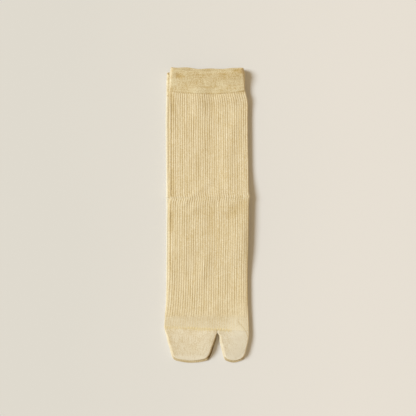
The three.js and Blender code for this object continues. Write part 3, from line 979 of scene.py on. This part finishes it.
def make_toe_pocket(sock, key):
    table = TOES[key]
    straight = TOE_LENGTH - TOE_ROUND
    past = np.concatenate([spaced(0, straight, 1.0, [0, 4.5]),
                           straight + TOE_ROUND * np.sin(np.linspace(0.12, math.pi / 2, 12))])
    full = rounded_off(TOE_LENGTH - past, TOE_BLUNT[sock])
    along = STATIONS[sock]["toe"] + JOIN + TOE_REACH[sock] * past
    rows = row_table(sock, along, curve(table, 3)(past), full,
                     ridge=SEAM_RIDGE * bell(past, 0.7), table=table, past=past)
    inset = TOE_INSET[sock] * smoothstep(past, 0, 9)
    if key == "four_toe_pocket":
        spread = TOE_SPREAD[sock] * smoothstep(past, 4, 12)
        rows[1] = rows[1] + inset
        rows[2] = np.minimum(rows[2] + spread, SPLIT - SPLIT_GAP)
    else:
        rows[1] = np.maximum(rows[1] + inset * smoothstep(past, 3, 7), SPLIT + SPLIT_GAP)
    inside = past <= TOE_INSIDE
    return pocket(
        f"{sock}_{key}_knit", sock, POCKET_COLUMNS, rows, [r[inside][::2] for r in rows],
        heights(sock, "toe"), WALL, KNITS["toe_knit"],
        tip=TIP_SHADE[sock] * smoothstep(past, 28, 31)[:, None],
        split_side="right" if key == "four_toe_pocket" else "left",
    )


# %% [markdown]
# ## The heel pockets
#
# A heel is knitted in short rows, so a pocket of extra cloth grows out of the ankle line.
# Laid flat it folds across its middle and lies between the sock's sole and the other sock.
# It could be two bent sheets, but only the rise above it shows, so it is one more closed
# bag, as wide as the ankle and tapered towards its fold.

# %% Making a heel pocket
HEEL_GROOVE = 0.3    # how far the edge is nipped in between the two plies
HEEL_BLUNT = 1.2     # how long the round of its folded edge is
HEEL_CORNER = 3.0    # how far its corners are rounded


def make_heel(sock):
    ankle = STATIONS[sock]["ankle"]
    down = np.concatenate([np.linspace(0, 0.95, 30),
                           0.95 + 0.05 * np.sin(np.linspace(0.15, math.pi / 2, 9))])
    left, right = (float(curve(EDGES[sock], column)(ankle)) for column in (1, 2))
    centre = (left + right) / 2
    to_tip = (1 - down) * HEEL_DEPTH
    corner = HEEL_CORNER * np.clip(1 - to_tip / HEEL_CORNER, 0, 1) ** 2
    half = heel_half_width(down) - corner
    full = rounded_off(to_tip, HEEL_BLUNT)
    along = ankle + SEAM_GAP + down * (HEEL_DEPTH - SEAM_GAP)
    rows = [along, centre - half, centre + half, 0 * half, full, 0 * half, 0 * half]
    inside = to_tip > 2
    return pocket(
        f"{sock}_heel_knit", sock, POCKET_COLUMNS, rows, [r[inside][::3] for r in rows],
        heights(sock, "heel"), HEEL_WALL, KNITS["heel_knit"], groove=HEEL_GROOVE,
    )


# %% Both socks
def make_sock(sock):
    """Every piece of one sock, by the name of its solid."""
    made = {"cuff": make_welt(sock), "leg": make_leg(sock), "foot": make_foot(sock)}
    for key in TOES:
        made[key] = make_toe_pocket(sock, key)
    made["heel"] = make_heel(sock)
    return made


socks = {sock: make_sock(sock) for sock in ("lower", "upper")}
print("pieces:", ", ".join(piece.name for made in socks.values() for piece in made.values()))

# %% [markdown]
# ## What each piece is cut to
#
# A tube's cloth is measured all the way round, so its flat width is twice its width as it
# lies. The heel pocket is one strip that is folded across its middle.

# %% Hanging the pieces on the root and hiding their solids
CUTS = {
    "cuff": ("welt_knit", (0.162, 0.028), None),
    "leg": ("leg_knit", (0.170, 0.112), None),
    "heel": ("heel_knit", (0.085, 0.080), 0.0048),
    "foot": ("foot_knit", (0.176, 0.140), None),
    "four_toe_pocket": ("toe_knit", (0.111, 0.036), 0.0034),
    "big_toe_pocket": ("toe_knit", (0.071, 0.036), 0.0020),
}


def dress(obj, node, flat):
    """Hangs the piece from the root, hides the solid it stands for, and prints how large its cloth is
    when cut.
    """
    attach(obj, "root")
    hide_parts(node)
    width, length = flat
    print(f"{obj.name}: {len(obj.data.polygons)} faces, cut {1000 * width:.0f} x {1000 * length:.0f} mm")


for sock, made in socks.items():
    for part, piece in made.items():
        slot, flat, area = CUTS[part]
        rests = [f"lower_{part}"] if sock == "upper" else []
        dress(piece, f"{sock}_{part}", flat)

# %% [markdown]
# ## Floor, light and camera
#
# The socks lie on a plain pale board, a little cooler and darker towards its left. One
# broad light comes slanting from the left, which draws the ribs and lays a soft shadow to
# the right, and a dim warm glow from all round fills the shadows. The camera looks
# straight down.

# %% The floor
FLOOR_HALF = 2       # metres from its middle to an edge
UNDER = -0.0001      # a hair below the socks, whose pressed ribs are flat at zero


def floor_finish():
    finish = Finish("pale_floor")
    place = finish.node("ShaderNodeTexCoord", None, None, 3)
    cloud = finish.node("ShaderNodeTexNoise", None, {"Vector": place, "Scale": 6.0, "Detail": 2.0})
    grain = finish.node("ShaderNodeTexNoise", None, {"Vector": place, "Scale": 700.0, "Detail": 2.0})
    across = finish.node("ShaderNodeSeparateXYZ", None, {0: place})
    tone = (cloud - 0.5) * 0.3 + (grain - 0.5) * 0.25 + across * 3.3 + 0.5
    colour = finish.mix(tone, (0.748, 0.745, 0.727), (0.808, 0.788, 0.767))
    surface = finish.node("ShaderNodeBsdfPrincipled", None,
                          {"Base Color": colour, "Roughness": 0.9, "Specular IOR Level": 0.1})
    finish.node("ShaderNodeOutputMaterial", None, {0: surface})
    return finish.material


floor_mesh = bpy.data.meshes.new("floor")
corners = [(FLOOR_HALF * i, FLOOR_HALF * j, UNDER) for i, j in ((-1, -1), (1, -1), (1, 1), (-1, 1))]
floor_mesh.from_pydata(corners, [], [(0, 1, 2, 3)])
floor_mesh.materials.append(floor_finish())
floor = bpy.data.objects.new("floor", floor_mesh)
bpy.context.scene.collection.objects.link(floor)
floor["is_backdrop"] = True
print(f"floor: {2 * FLOOR_HALF} m wide")

# %% Light
SUN_UP = math.radians(42)      # above the floor
SUN_ROUND = math.radians(11)   # from the left, round towards the cuffs

key_data = bpy.data.lights.new("key", "SUN")
key_data.energy = 2.86
key_data.angle = math.radians(25)
key_data.color = (0.90, 0.985, 1.05)
key = bpy.data.objects.new("key", key_data)
towards = Vector((-math.cos(SUN_UP) * math.cos(SUN_ROUND), math.cos(SUN_UP) * math.sin(SUN_ROUND),
                  math.sin(SUN_UP)))
key.rotation_euler = towards.to_track_quat("Z", "Y").to_euler()
bpy.context.scene.collection.objects.link(key)

world = bpy.data.worlds.new("soft_room")
world.use_nodes = True
world.node_tree.nodes["Background"].inputs[0].default_value = (0.44, 0.34, 0.21, 1)
bpy.context.scene.world = world
bpy.context.scene.view_settings.view_transform = "Standard"
print("light comes from", ", ".join(f"{part:.2f}" for part in towards))

# %% Camera
camera_data = bpy.data.cameras.new("camera")
camera_data.lens = 50.1
camera = bpy.data.objects.new("camera", camera_data)
camera.location = (0.0013, 0.0080, 0.620)   # straight above, a hair off the pair's middle
bpy.context.scene.collection.objects.link(camera)
bpy.context.scene.camera = camera
print(f"camera: {camera.location.z * 1000:.0f} mm above the floor")

# %% Size and finish
({"cad": [list(corner) for corner in cad_box],
           "visual": [list(corner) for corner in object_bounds()]})
